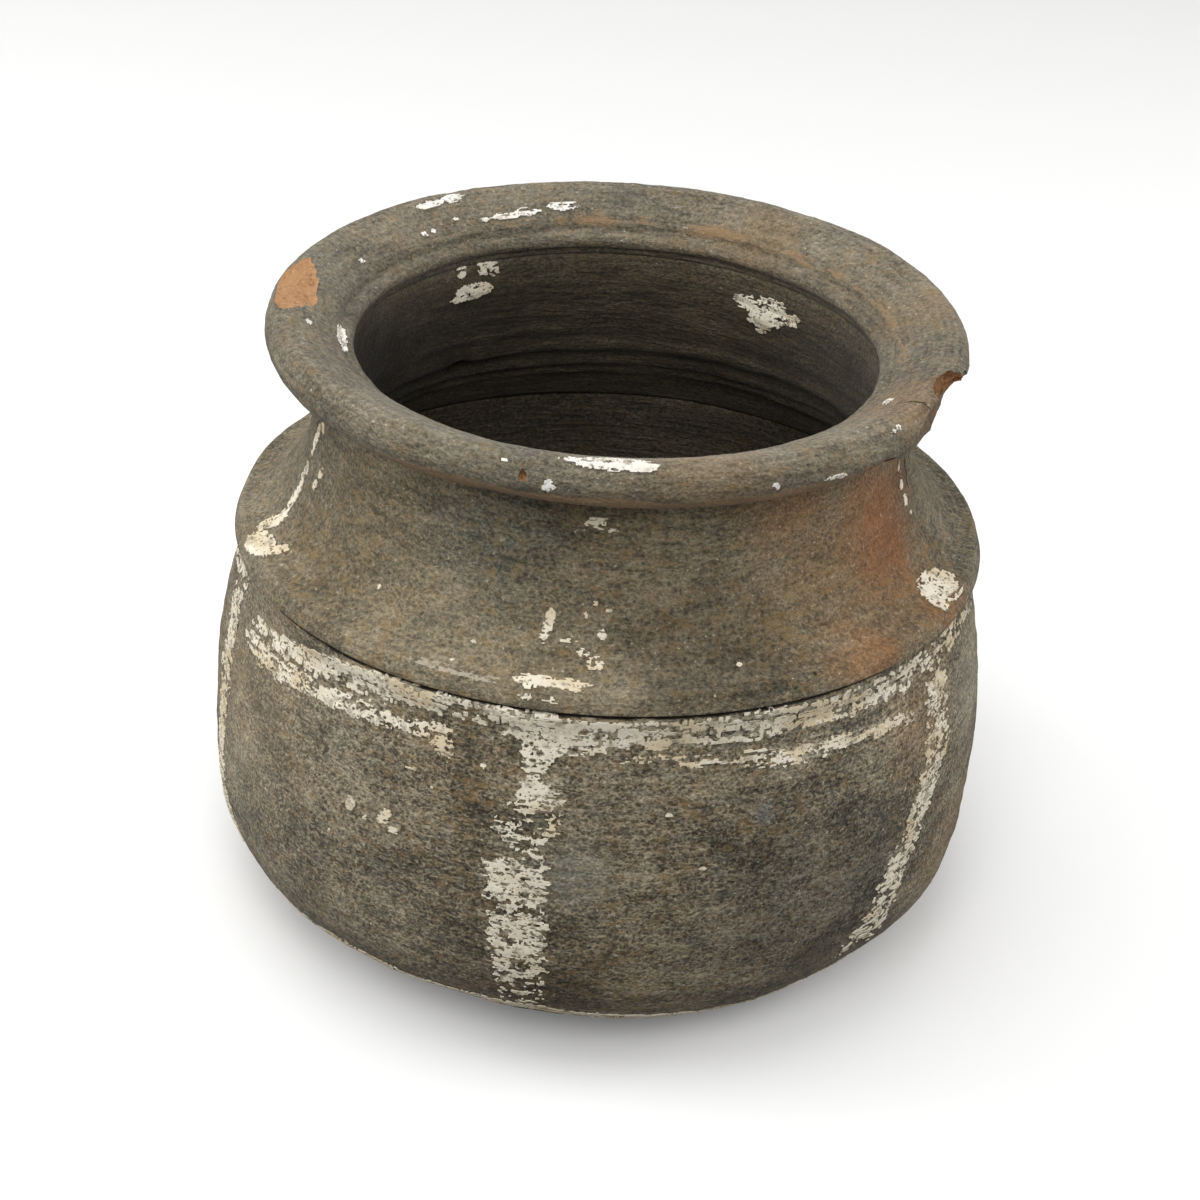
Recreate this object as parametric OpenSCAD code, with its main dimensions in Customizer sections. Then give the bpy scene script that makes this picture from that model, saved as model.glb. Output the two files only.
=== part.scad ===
// Hand-built terracotta water jar, standing on its worn base, with its axis on +Z.
// Three parts of clay are luted together: the beaten bowl, the thrown shoulder whose foot
// laps over the bowl as a ridge, and the everted rim. Limewash is brushed on as thin films.

/* [Bowl] */
// Greatest outer radius of the bowl
belly_r = 130; // [122:1:140]
// Height of the greatest radius above the rest
belly_z = 63.5; // [56:0.5:72]
// Radius of the worn flat that the jar rests on
rest_r = 50; // [40:1:60]
// Fullness of the curve from the rest to the belly, where 2 is an ellipse
bowl_full = 2.9; // [2.4:0.1:3.4]
// Outer radius of the bowl's edge, in the crease under the ridge
crease_r = 118.5; // [116:0.5:120]
// Height of the crease
crease_z = 132.5; // [126:0.5:140]
// Thickness of the bowl's wall
bowl_wall = 8.5; // [6:0.5:11]
// Thickness of the floor
floor_t = 9; // [7:0.5:12]
// How far the scarf joint drops from the crease to its inner edge
scarf_drop = 6.5; // [3:0.5:9]

/* [Shoulder] */
// Greatest radius of the ridge
ridge_r = 123.3; // [122:0.1:126]
// Height of the ridge
ridge_h = 6.5; // [5:0.5:8]
// Radius of the ridge's lower edge, which overhangs the crease
ridge_edge = 1.1; // [0.6:0.1:2]
// Radius where the shoulder springs from the top of the ridge
shoulder_r = 119.2; // [117:0.1:120]
// Outer radius of the neck
neck_r = 95; // [90:0.5:100]
// Height of the neck's top edge, where the rim is luted on
neck_z = 191.5; // [185:0.5:200]
// Thickness of the wall of the shoulder and the neck
neck_wall = 8.5; // [6.5:0.5:9.5]

/* [Rim] */
// Outer radius of the rim
rim_r = 111.9; // [109:0.1:118]
// Radius of the rim's rounded edge
rim_round = 8; // [6:0.25:9]
// Rise of the rim's rounded edge, from the neck's top to the middle of the edge
rim_rise = 11.2; // [10:0.1:14]
// Width of the flat land on top of the rim
land_w = 3; // [2:0.5:4]
// Radius of the mouth, at the inner edge of the dished top
mouth_r = 89.3; // [87.5:0.1:92]
// Drop of the dished top, from the land to the mouth's edge
dish_drop = 7.6; // [5:0.1:9]
// How far the round start of the dish reaches in from the land
dish_start = 4; // [2:0.5:6]
// Depth of the lid seat's groove below the mouth's edge
seat_drop = 2.5; // [2:0.1:3]
// How much wider the mouth's edge is than the bottom of the groove under it
seat_w = 0.9; // [0.6:0.1:1.2]
// Height of the groove between the lid seat and the bead
groove_h = 0.8; // [0.5:0.1:1.5]
// Radius of the bead under the lid seat
bead_round = 2.4; // [2:0.1:2.6]

/* [Damage] */
// Angle around the jar of the fresh bite in the rim's edge
chip_az = -20.5; // [-180:0.5:180]
// Radius of the hollow that the bite leaves
chip_r = 11; // [9:0.5:14]
// Depth of the bite into the rim's edge
chip_depth = 7.5; // [4:0.5:8.5]
// Angle around the jar of the old, worn break beside the bite
break_az = -31; // [-180:1:180]
// Radius of the hollow that the old break leaves
break_r = 17; // [14:0.5:22]
// Depth of the old break into the rim's edge
break_depth = 5; // [2:0.5:6]
// Angle around the jar of the flaked patch on top of the rim
spall_az = 176; // [-180:1:180]
// Radius of the shallow hollow that the flake leaves
spall_r = 60; // [40:1:80]
// Depth of the flaked patch
spall_depth = 1.5; // [0.8:0.1:2]
// How far the middle of the flaked patch lies in from the rim's land
spall_in = 2; // [0:0.5:4]

/* [Limewash] */
// Thickness of the limewash
lime_t = 0.5; // [0.3:0.1:1]
// Width of a vertical brush stroke
stripe_w = 18; // [12:1:24]
// Height of the girdle stroke under the ridge
girdle_h = 9; // [6:0.5:12]
// Distance of the girdle stroke below the crease
girdle_gap = 3; // [2:0.5:6]
// Height of the thinner stroke under the girdle
lower_h = 5; // [3:0.5:6]
// Distance of the thinner stroke below the crease
lower_gap = 17; // [15:0.5:20]
// Height of the stroke round the base
base_band_h = 7; // [4:0.5:9]
// Height of the lower edge of the stroke round the base
base_band_z = 13; // [8:0.5:16]
// Gap between the strokes round the bowl and the top of the vertical stripes
stripe_gap = 1; // [0.5:0.5:3]

/* [Hidden] */
$fn = 96;
clay_grey = [0.42, 0.38, 0.31];
clay_brown = [0.45, 0.39, 0.31];
clay_worn = [0.47, 0.42, 0.35];
lime_cream = [0.86, 0.82, 0.70];
// Fineness of the outlines: degrees between points, mm between heights, and points in each round stretch
turn_step = 5;
z_step = 4;
low_steps = 16;
ridge_steps = 8;
roll_steps = 14;
bead_steps = 10;
dish_steps = 8;
tiny = 0.01;
near = 0.2;

scarf_z = crease_z - scarf_drop;
inner_belly_r = belly_r - bowl_wall;
inner_rest_r = rest_r - bowl_wall;
inner_crease_r = crease_r - bowl_wall;
foot_z = crease_z + ridge_h;
throat_r = neck_r - neck_wall;
ridge_round = ridge_h / 2;
roll_c = [rim_r - rim_round, neck_z + rim_rise];
ridge_end = 60;
roll_end = 60;
land_z = roll_c[1] + rim_round * sin(roll_end);
land_out = roll_c[0] + rim_round * cos(roll_end);
land_in = land_out - land_w;
mouth_z = land_z - dish_drop;
// The bead stands just off the throat's wall, and leans from the groove down to the throat
bead_off = 0.1;
bead_start = 100;
bead_end = 255;
bead_c = [throat_r + bead_off, mouth_z - seat_drop - groove_h - bead_round];

// Radius of a bowl curve at a height, for the part between the floor and the belly
function low_r(z, floor_z, flat_r, top_r) =
    let (rise = (belly_z - z) / (belly_z - floor_z))
    flat_r + (top_r - flat_r) * pow(1 - pow(rise, bowl_full), 1 / bowl_full);
// Radius of a bowl curve at a height, for the part between the belly and the crease
function high_r(z, top_r, edge_r) =
    top_r - (top_r - edge_r) * pow((z - belly_z) / (crease_z - belly_z), 2);

// A surface is a list of rows: the place along it, then its radius and height there.
// Heights near a floor bunch together, because the curve is flattest there.
function low_heights(floor_z) =
    [for (k = [0 : low_steps]) floor_z + (belly_z - floor_z) * pow(k / low_steps, 2)];
function bowl_rows(floor_z, flat_r, top_r, edge_r, end_z) = concat(
    [for (z = low_heights(floor_z)) [z, low_r(z, floor_z, flat_r, top_r), z]],
    [for (z = [belly_z + z_step : z_step : end_z - 1]) [z, high_r(z, top_r, edge_r), z]],
    [[end_z, high_r(end_z, top_r, edge_r), end_z]]
);
bowl_out = bowl_rows(0, rest_r, belly_r, crease_r, crease_z);
bowl_in = bowl_rows(floor_t, inner_rest_r, inner_belly_r, inner_crease_r, scarf_z);

// The shoulder is a quarter of an ellipse, placed by its turn from 0 at the foot to 90 at the neck
function shoulder_at(turn) = [
    shoulder_r - (shoulder_r - neck_r) * sin(turn),
    foot_z + (neck_z - foot_z) * (1 - cos(turn))
];
function shoulder_normal(turn) =
    let (n = [(neck_z - foot_z) * sin(turn), (shoulder_r - neck_r) * cos(turn)]) n / norm(n);
function throat_at(turn) = shoulder_at(turn) - neck_wall * shoulder_normal(turn);
throat_start = 25;
shoulder_out = [for (turn = [0 : turn_step : 90]) [turn, shoulder_at(turn)[0], shoulder_at(turn)[1]]];
shoulder_in = [
    for (turn = [throat_start : turn_step : 90]) [turn, throat_at(turn)[0], throat_at(turn)[1]]
];

// The dished top of the rim, from the mouth's edge out to the land, placed by its radius
function bend(a, b, c, s) = (1 - s) * (1 - s) * a + 2 * s * (1 - s) * b + s * s * c;
dish_in = [mouth_r, mouth_z];
dish_ease = 0.6;
dish_mid = [land_in - dish_start, land_z - dish_ease];
dish_out = [land_in, land_z];
rim_top = [
    for (k = [0 : dish_steps])
        let (p = bend(dish_in, dish_mid, dish_out, k / dish_steps)) [p[0], p[0], p[1]]
];

function points_of(rows) = [for (q = rows) [q[1], q[2]]];
function backwards(list) = [for (k = [len(list) - 1 : -1 : 0]) list[k]];
function arc(c, r, from, to, steps) =
    [for (k = [0 : steps]) let (a = from + (to - from) * k / steps) c + r * [cos(a), sin(a)]];

// Point on a surface at a place along it, and the point that lies the limewash's thickness off it
function on(rows, p) =
    [lookup(p, [for (q = rows) [q[0], q[1]]]), lookup(p, [for (q = rows) [q[0], q[2]]])];
function off(rows, p, side) =
    let (
        low = max(p - near, rows[0][0]),
        high = min(p + near, rows[len(rows) - 1][0]),
        d = on(rows, high) - on(rows, low),
        n = [d[1], -d[0]] / norm(d)
    )
    on(rows, p) + side * lime_t * n;
function places(rows, p0, p1) =
    concat([p0], [for (q = rows) if (q[0] > p0 + tiny && q[0] < p1 - tiny) q[0]], [p1]);
function film(rows, p0, p1, side) = concat(
    [for (p = places(rows, p0, p1)) on(rows, p)],
    backwards([for (p = places(rows, p0, p1)) off(rows, p, side)])
);

// One patch of limewash: its middle angle, its width in degrees, and where it starts and ends
module patch(rows, az, turn, p0, p1, side = 1) {
    rotate([0, 0, az - turn / 2])
        rotate_extrude(angle = turn)
            polygon(film(rows, p0, p1, side));
}
// Angle that a stroke of the brush's width takes on the belly
stripe_turn = stripe_w / belly_r * 180 / PI;

module lower_bowl() {
    color(clay_grey)
        rotate_extrude()
            polygon(concat(
                [[0, 0]],
                points_of(bowl_out),
                backwards(points_of(bowl_in)),
                [[0, floor_t]]
            ));
}

module shoulder() {
    ridge = concat(
        arc([ridge_r - ridge_edge, crease_z + ridge_edge], ridge_edge, -90, 0, ridge_steps),
        arc([ridge_r - ridge_round, crease_z + ridge_round], ridge_round, 0, ridge_end, ridge_steps)
    );
    color(clay_brown)
        rotate_extrude()
            polygon(concat(
                [[high_r(scarf_z, inner_belly_r, inner_crease_r), scarf_z], [crease_r, crease_z]],
                ridge,
                points_of(shoulder_out),
                backwards(points_of(shoulder_in))
            ));
}

module rim_ring() {
    under = [for (a = [0 : 3 * turn_step : 90 - 3 * turn_step]) [
        neck_r + (roll_c[0] - neck_r) * (1 - cos(a)),
        neck_z + (rim_rise - rim_round) * sin(a)
    ]];
    roll = arc(roll_c, rim_round, -90, roll_end, roll_steps);
    bead = arc(bead_c, bead_round, bead_start, bead_end, bead_steps);
    rotate_extrude()
        polygon(concat(
            under,
            roll,
            backwards(points_of(rim_top)),
            [[mouth_r - seat_w, mouth_z - seat_drop]],
            bead,
            [[throat_r, neck_z]]
        ));
}

// A bite is a hollow whose middle lies outside the rim's edge, at a height above the roll's middle
module bite(az, hollow_r, depth, up) {
    rotate([0, 0, az])
        translate([rim_r + hollow_r - depth, 0, roll_c[1] + up])
            sphere(r = hollow_r);
}

// The flaked patch is a shallow hollow in the top of the rim, leaning in over the dish
module spall() {
    lean = 97;
    reach = spall_r - spall_depth;
    rotate([0, 0, spall_az])
        translate([land_in - spall_in + reach * cos(lean), 0, land_z + reach * sin(lean)])
            sphere(r = spall_r);
}

module rim() {
    color(clay_worn)
        difference() {
            rim_ring();
            bite(chip_az, chip_r, chip_depth, rim_round / 2);
            bite(break_az, break_r, break_depth, 0);
            spall();
        }
}

// Strokes round the bowl: where each starts and ends round the jar
girdle_runs = [
    [-157, -113], [-112, -66], [-65, -31], [-29, -8], [-2, 38], [44, 83], [90, 122], [130, 168], [176, 200]
];
lower_runs = [[-150, -112], [-76, -38], [8, 34], [66, 88], [138, 160]];
base_runs = [[-170, -128], [-124, -58], [-50, -8], [6, 52], [60, 118], [128, 172]];

module ring_stroke(runs, low, high) {
    color(lime_cream)
        for (run = runs)
            patch(bowl_out, (run[0] + run[1]) / 2, run[1] - run[0], low, high);
}

module girdle_stroke() {
    ring_stroke(girdle_runs, crease_z - girdle_gap - girdle_h, crease_z - girdle_gap);
}

module lower_stroke() {
    ring_stroke(lower_runs, crease_z - lower_gap - lower_h, crease_z - lower_gap);
}

module base_stroke() {
    ring_stroke(base_runs, base_band_z, base_band_z + base_band_h);
}

// A stripe is a row of daubs down the bowl: angle, share of the brush's width, low and high edge.
// Both edges are shares of the height from the rest to the stripes' top.
stripe_top = crease_z - lower_gap - lower_h - stripe_gap;
front_daubs = [
    [-96, 0.95, 0.88, 1], [-98, 0.6, 0.78, 0.86], [-99, 1, 0.61, 0.76], [-98.6, 1.05, 0.38, 0.59],
    [-99, 0.8, 0.25, 0.36]
];
right_daubs = [
    [-30.8, 0.75, 0.89, 1], [-31.5, 0.75, 0.785, 0.87], [-35, 0.85, 0.64, 0.77], [-38.5, 0.9, 0.51, 0.62],
    [-42, 1, 0.36, 0.49], [-44.5, 1, 0.24, 0.34]
];
left_daubs = [
    [-163, 0.9, 0.84, 1], [-161.5, 0.8, 0.62, 0.81], [-161, 0.9, 0.38, 0.58], [-157, 0.7, 0.24, 0.35]
];
rear_daubs = [
    [31, 0.9, 0.8, 1], [30, 0.8, 0.55, 0.77], [32, 1, 0.27, 0.51],
    [92, 1, 0.86, 1], [91, 0.9, 0.6, 0.82], [93, 0.8, 0.4, 0.57], [93, 1, 0.23, 0.37],
    [151, 0.8, 0.73, 1], [152, 1, 0.47, 0.69], [150, 0.9, 0.25, 0.44]
];

module stripe(daubs) {
    color(lime_cream)
        for (d = daubs)
            patch(bowl_out, d[0], d[1] * stripe_turn, d[2] * stripe_top, d[3] * stripe_top);
}

module front_stripe() {
    stripe(front_daubs);
}

module right_stripe() {
    stripe(right_daubs);
}

module left_stripe() {
    stripe(left_daubs);
}

module rear_stripes() {
    stripe(rear_daubs);
}

// Small daubs: middle angle, width in degrees, then where they start and end on the surface
module daubs(rows, marks, side = 1) {
    color(lime_cream)
        for (m = marks)
            patch(rows, m[0], m[1], m[2], m[3], side);
}

// Marks on the shoulder, the neck and the inside lie at turns of the shoulder's quarter ellipse
shoulder_marks = [
    [-163.5, 4, 32, 55], [-161.5, 6, 13, 31], [-157, 10, 2, 12], [-23.4, 8, 4, 22],
    [-96.2, 11, 1, 8], [-98.6, 2.2, 37, 47], [-91, 2, 48, 54], [-90.4, 2.5, 22, 30]
];
neck_marks = [
    [-91.6, 6, 78, 84], [-164, 4, 60, 72], [-157, 4, 50, 58], [-23.5, 5, 62, 74], [-25, 3, 52, 59]
];
inside_marks = [[130, 4, 82, 87], [123, 5, 80, 88], [127, 10, 70, 77], [54.6, 20, 68, 82]];
// Specks lie at shares of the stripes' height, and marks on the rim at shares of the dish's width
speck_marks = [
    [-124.3, 3, 0.75, 0.79], [-118.5, 3, 0.8, 0.85], [-115.7, 1.5, 0.95, 0.98], [-120.3, 1.5, 0.4, 0.43],
    [-69.3, 6, 0.9, 0.95]
];
top_marks = [[131, 8, 0.5, 0.75], [112, 19, 0.1, 0.3], [-162.7, 3, 0.6, 0.75], [-90.5, 12, 0.45, 0.75]];

// Marks whose places are shares of a way along a surface, from start to end
function along(marks, start, end) =
    [for (m = marks) [m[0], m[1], start + m[2] * (end - start), start + m[3] * (end - start)]];

module shoulder_daubs() {
    daubs(shoulder_out, shoulder_marks);
}

module neck_daubs() {
    daubs(shoulder_out, neck_marks);
}

module inside_daubs() {
    daubs(shoulder_in, inside_marks, -1);
}

module bowl_specks() {
    daubs(bowl_out, along(speck_marks, 0, stripe_top));
}

module rim_daubs() {
    daubs(rim_top, along(top_marks, mouth_r, land_in), -1);
}

lower_bowl();
shoulder();
rim();
girdle_stroke();
lower_stroke();
front_stripe();
right_stripe();
left_stripe();
rear_stripes();
base_stroke();
shoulder_daubs();
neck_daubs();
rim_daubs();
inside_daubs();
bowl_specks();
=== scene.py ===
"""A hand-built terracotta water jar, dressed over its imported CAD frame."""
import math

import bpy
import numpy as np
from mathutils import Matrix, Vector, noise


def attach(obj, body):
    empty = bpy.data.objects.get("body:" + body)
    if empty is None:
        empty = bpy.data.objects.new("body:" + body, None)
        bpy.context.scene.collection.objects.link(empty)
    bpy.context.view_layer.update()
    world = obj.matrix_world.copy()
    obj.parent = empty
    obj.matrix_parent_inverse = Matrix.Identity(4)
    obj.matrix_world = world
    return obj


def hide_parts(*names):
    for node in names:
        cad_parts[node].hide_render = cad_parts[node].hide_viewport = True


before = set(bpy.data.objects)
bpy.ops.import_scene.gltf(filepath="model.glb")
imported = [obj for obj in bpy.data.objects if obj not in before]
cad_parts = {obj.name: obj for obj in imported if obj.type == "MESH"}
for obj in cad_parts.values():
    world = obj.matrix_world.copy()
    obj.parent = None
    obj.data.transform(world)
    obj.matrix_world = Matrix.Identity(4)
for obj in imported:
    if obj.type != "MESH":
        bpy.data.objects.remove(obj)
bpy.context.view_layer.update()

# The view. The photograph looks down on the jar from about 30 degrees, with a
# long lens and the camera leaning a little, and the jar's front at -Y.
MM = 0.001
view_height = 30.32
view_distance = 0.9
view_lean = 3.94
aim = Vector((0.0, 0.0, 0.1))
look = Vector((0.0, math.cos(math.radians(view_height)), -math.sin(math.radians(view_height))))

lens = bpy.data.cameras.new("photo_camera")
lens.sensor_width = 36.0
lens.lens = 79.65
lens.shift_x = -2.81 / 1200
lens.shift_y = 4.43 / 1200
lens.clip_start = 0.01
camera = bpy.data.objects.new("photo_camera", lens)
bpy.context.scene.collection.objects.link(camera)
camera.rotation_mode = "QUATERNION"
camera.rotation_quaternion = look.to_track_quat("-Z", "Y")
camera.location = aim - look * view_distance
bpy.context.scene.camera = camera
camera.rotation_mode = "XYZ"
camera.rotation_euler.rotate_axis("Z", math.radians(view_lean))


# The floor and the light. A pale sheet under an open, overcast sky: most of
# the light comes from above, and little comes back up from the floor.
class Wire:
    """A socket of a node tree. Sums written on it add the Math nodes that do them."""

    def __init__(self, tree, socket=None):
        self.tree, self.socket = tree, socket

    def node(self, kind, settings=None, sockets=None, out=0):
        made = self.tree.nodes.new(kind)
        for name, value in (settings or {}).items():
            if name == "stops":
                ramp = made.color_ramp
                while len(ramp.elements) < len(value):
                    ramp.elements.new(0.5)
                for element, (place, colour) in zip(ramp.elements, value):
                    element.position, element.color = place, colour
            else:
                setattr(made, name, value)
        for name, value in (sockets or {}).items():
            if isinstance(value, Wire):
                self.tree.links.new(value.socket, made.inputs[name])
            else:
                made.inputs[name].default_value = value
        return Wire(self.tree, made.outputs[out])

    def maths(self, operation, *terms, clamp=False):
        return self.node("ShaderNodeMath", {"operation": operation, "use_clamp": clamp}, dict(enumerate(terms)))

    def __add__(self, other):
        return self.maths("ADD", self, other)

    __radd__ = __add__

    def __mul__(self, other):
        return self.maths("MULTIPLY", self, other)

    __rmul__ = __mul__

    def __sub__(self, other):
        return self.maths("SUBTRACT", self, other)

    def __rsub__(self, other):
        return self.maths("SUBTRACT", other, self)

    def ramp(self, low, high, to_low=0.0, to_high=1.0):
        """The value brought from low..high to to_low..to_high, with soft ends."""
        return self.node("ShaderNodeMapRange", {"interpolation_type": "SMOOTHSTEP"},
                         {"Value": self, "From Min": low, "From Max": high, "To Min": to_low, "To Max": to_high})

    def tint(self, other, amount):
        """This colour mixed towards another one by an amount."""
        return self.node("ShaderNodeMix", {"data_type": "RGBA"}, {0: amount, 6: self, 7: other}, out=2)


def paint(red, green, blue):
    """A colour as seen on screen, 0 to 255, as the colour a surface holds."""
    def straight(c):
        c /= 255
        return c / 12.92 if c <= 0.04045 else ((c + 0.055) / 1.055) ** 2.4
    return (straight(red), straight(green), straight(blue), 1.0)


floor_seen = paint(249, 249, 248)
floor_returned = paint(120, 118, 114)
bpy.ops.object.select_all(action="DESELECT")
bpy.ops.mesh.primitive_plane_add(size=8.0, location=(0, 0, 0))
floor = bpy.context.object
floor.name = "floor_sheet"
floor_paint = bpy.data.materials.new("floor_sheet")
floor_paint.use_nodes = True
sheet = Wire(floor_paint.node_tree)
ray = sheet.node("ShaderNodeLightPath")
shader = floor_paint.node_tree.nodes["Principled BSDF"]
shader.inputs["Roughness"].default_value = 0.9
returned = sheet.node("ShaderNodeRGB")
returned.socket.default_value = floor_returned
floor_paint.node_tree.links.new(returned.tint(floor_seen, ray).socket, shader.inputs["Base Color"])
unlit = sheet.node("ShaderNodeRGB")
unlit.socket.default_value = (0.0, 0.0, 0.0, 1.0)
floor_paint.node_tree.links.new(unlit.tint((0.09, 0.09, 0.09, 1.0), ray).socket, shader.inputs["Emission Color"])
shader.inputs["Emission Strength"].default_value = 1.0
floor.data.materials.append(floor_paint)

sky_strength = 0.40
sky = bpy.data.worlds.new("pale_sky")
bpy.context.scene.world = sky
sky.use_nodes = True
dome = Wire(sky.node_tree)
ray = dome.node("ShaderNodeLightPath")
backdrop = sky.node_tree.nodes["Background"]
backdrop.inputs["Color"].default_value = (1.0, 1.0, 1.0, 1.0)
sky.node_tree.links.new((ray * (0.95 - sky_strength) + sky_strength).socket, backdrop.inputs["Strength"])


def soft_lamp(name, place, width, watts, warmth=(1.0, 1.0, 1.0)):
    lamp = bpy.data.lights.new(name, "AREA")
    lamp.shape, lamp.size, lamp.energy, lamp.color = "DISK", width, watts, warmth
    stand = bpy.data.objects.new(name, lamp)
    bpy.context.scene.collection.objects.link(stand)
    stand.location = place
    stand.rotation_euler = (Vector((0, 0, 0.1)) - stand.location).to_track_quat("-Z", "Y").to_euler()


soft_lamp("high_light", (-0.35, -0.05, 1.7), 1.5, 13.0)
soft_lamp("front_light", (-0.1, -1.15, 1.25), 0.9, 8.5)
soft_lamp("left_light", (-1.5, 0.1, 0.7), 0.9, 9.0)
soft_lamp("right_light", (1.5, 0.3, 0.6), 0.9, 8.5)
bpy.context.scene.view_settings.view_transform = "Standard"

# The lower bowl. Fired terracotta, beaten out by hand over a round mould, so
# its wall swells and flattens; it stands on a flat worn by years of use.
belly_r, belly_z, rest_r, bowl_full = 130.0, 63.5, 50.0, 2.9
crease_r, crease_z = 118.5, 132.5
bowl_wall, floor_t, scarf_drop = 8.5, 9.0, 6.5
scarf_z = crease_z - scarf_drop
CLAY_TURNS = 480


def bowl_radius(z, foot_z, foot_r, widest_r, edge_r):
    if z < belly_z:
        rise = (belly_z - z) / (belly_z - foot_z)
        return foot_r + (widest_r - foot_r) * (1 - min(rise, 1.0) ** bowl_full) ** (1 / bowl_full)
    return widest_r - (widest_r - edge_r) * ((z - belly_z) / (crease_z - belly_z)) ** 2


def bowl_side(foot_z, foot_r, widest_r, edge_r, end_z):
    heights = [foot_z + (belly_z - foot_z) * k * k / 10000 for k in range(100)]
    heights += list(np.linspace(belly_z, end_z, 60))
    return [(bowl_radius(z, foot_z, foot_r, widest_r, edge_r), z) for z in heights]


def evenly(line, step):
    """The same line, with a point about every step mm along it."""
    line = np.array(line, float)
    run = np.concatenate([[0], np.cumsum(np.hypot(*np.diff(line, axis=0).T))])
    at = np.linspace(0, run[-1], max(1, round(run[-1] / step)) + 1)
    return [tuple(q) for q in np.column_stack([np.interp(at, run, line[:, 0]), np.interp(at, run, line[:, 1])])]


def turned(name, outline, turns=CLAY_TURNS):
    """A solid of the wheel: one point drawn along the outline, spun a sixteenth of a turn, then copied round."""
    bpy.ops.object.select_all(action="DESELECT")
    bpy.ops.mesh.primitive_plane_add(size=MM, location=(outline[0][0] * MM, 0, outline[0][1] * MM))
    piece = bpy.context.object
    piece.name = piece.data.name = name
    bpy.ops.object.transform_apply(location=True, rotation=True, scale=True)
    bpy.ops.object.mode_set(mode="EDIT")
    bpy.ops.mesh.select_all(action="SELECT")
    bpy.ops.mesh.merge(type="CENTER")
    for (r0, z0), (r1, z1) in zip(outline, outline[1:]):
        bpy.ops.mesh.extrude_vertices_move(TRANSFORM_OT_translate={"value": ((r1 - r0) * MM, 0, (z1 - z0) * MM)})
    bpy.ops.mesh.select_all(action="SELECT")
    bpy.ops.mesh.spin(steps=turns // 16, angle=math.pi / 8, center=(0, 0, 0), axis=(0, 0, 1))
    for share in (8, 4, 2, 1):
        bpy.ops.mesh.select_all(action="SELECT")
        bpy.ops.mesh.duplicate()
        bpy.ops.transform.rotate(value=math.pi / share, orient_axis="Z", center_override=(0, 0, 0))
    bpy.ops.mesh.select_all(action="SELECT")
    bpy.ops.mesh.remove_doubles(threshold=0.00002)
    bpy.ops.mesh.normals_make_consistent(inside=False)
    bpy.ops.object.mode_set(mode="OBJECT")
    return piece


def points_of(piece):
    flat = np.empty(len(piece.data.vertices) * 3)
    piece.data.vertices.foreach_get("co", flat)
    return flat.reshape(-1, 3) / MM


def bumps(points, stretch, seed, octaves=3):
    """Smooth noise of about -1 to 1 at points in mm, with its hills stretch mm wide in x, y and z."""
    scaled = points / np.array(stretch) + seed
    return np.array([noise.fractal(Vector(q), 0.9, 2.0, octaves) for q in scaled]) * 1.5


def as_built(points):
    """Where points of the true round form lie on the jar as its maker left it, in mm."""
    x, y, z = points.T
    height = [0, belly_z / 2, crease_z, 202.7]
    lean_x = np.tan(np.radians(np.interp(z, height, [0, 0, 0.65, 0.47])))
    lean_y = np.tan(np.radians(np.interp(z, height, [0, 0, -0.61, 0.17])))
    push = np.zeros(len(points))
    azimuth = np.degrees(np.arctan2(y, x))
    for middle, level, wide, tall, depth in hand_marks:
        away = (azimuth - middle + 180) % 360 - 180
        push += depth * np.exp(-(away / wide) ** 2 - ((z - level) / tall) ** 2)
    reach = np.maximum(np.hypot(x, y), 1.0)
    return np.column_stack([
        x * (1 + push / reach) + np.interp(z, height, [0, 0, 0, -1.17]),
        y * (1 + push / reach) + np.interp(z, height, [0, 0, 0, -0.45]),
        z + lean_x * x + lean_y * y,
    ])


# Swells and flats of the beaten wall: angle, height, half width in degrees and in mm, and push outwards in mm
hand_marks = [(-155, 34, 20, 20, 0.8), (-115, 14, 18, 11, -2.2), (-48, 30, 12, 16, -0.9), (-28, 34, 10, 18, 0.8),
              (20, 60, 30, 30, -0.8), (75, 90, 25, 25, 0.9), (130, 50, 30, 30, -1.0), (-80, 95, 30, 22, -0.5)]


def shaped(piece, relief):
    """Works the piece's skin: presses its relief into it, then leans it as the jar leans."""
    mesh = piece.data
    flat = np.empty(len(mesh.vertices) * 3)
    mesh.vertices.foreach_get("co", flat)
    points = flat.reshape(-1, 3) / MM
    mesh.vertices.foreach_get("normal", flat)
    normals = flat.reshape(-1, 3).copy()
    points = as_built(points + normals * relief(points, normals)[:, None])
    mesh.vertices.foreach_set("co", (points * MM).ravel())
    mesh.update()
    bpy.ops.object.select_all(action="DESELECT")
    piece.select_set(True)
    bpy.context.view_layer.objects.active = piece
    bpy.ops.object.shade_smooth()


def front_crack(points):
    """How far the crooked crack under the ridge drops at each point, in mm, and how far it has opened, 0 to 1."""
    azimuth = np.degrees(np.arctan2(points[:, 1], points[:, 0]))
    opened = np.clip((azimuth + 168) / 30, 0, 1) * np.clip((-26 - azimuth) / 30, 0, 1)
    return 1.55 + 0.28 * bumps(points, (7, 7, 7), 5.5), opened


def bowl_lip(points):
    """In front the bowl's edge swells out to the ridge, and only the crooked crack is left between them."""
    below = crease_z - points[:, 2]
    crack, in_front = front_crack(points)
    return 4.0 * in_front * np.clip((below - crack) / 0.3, 0, 1) * np.exp(-(np.maximum(below - 2.0, 0) / 5.4) ** 2)


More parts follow.
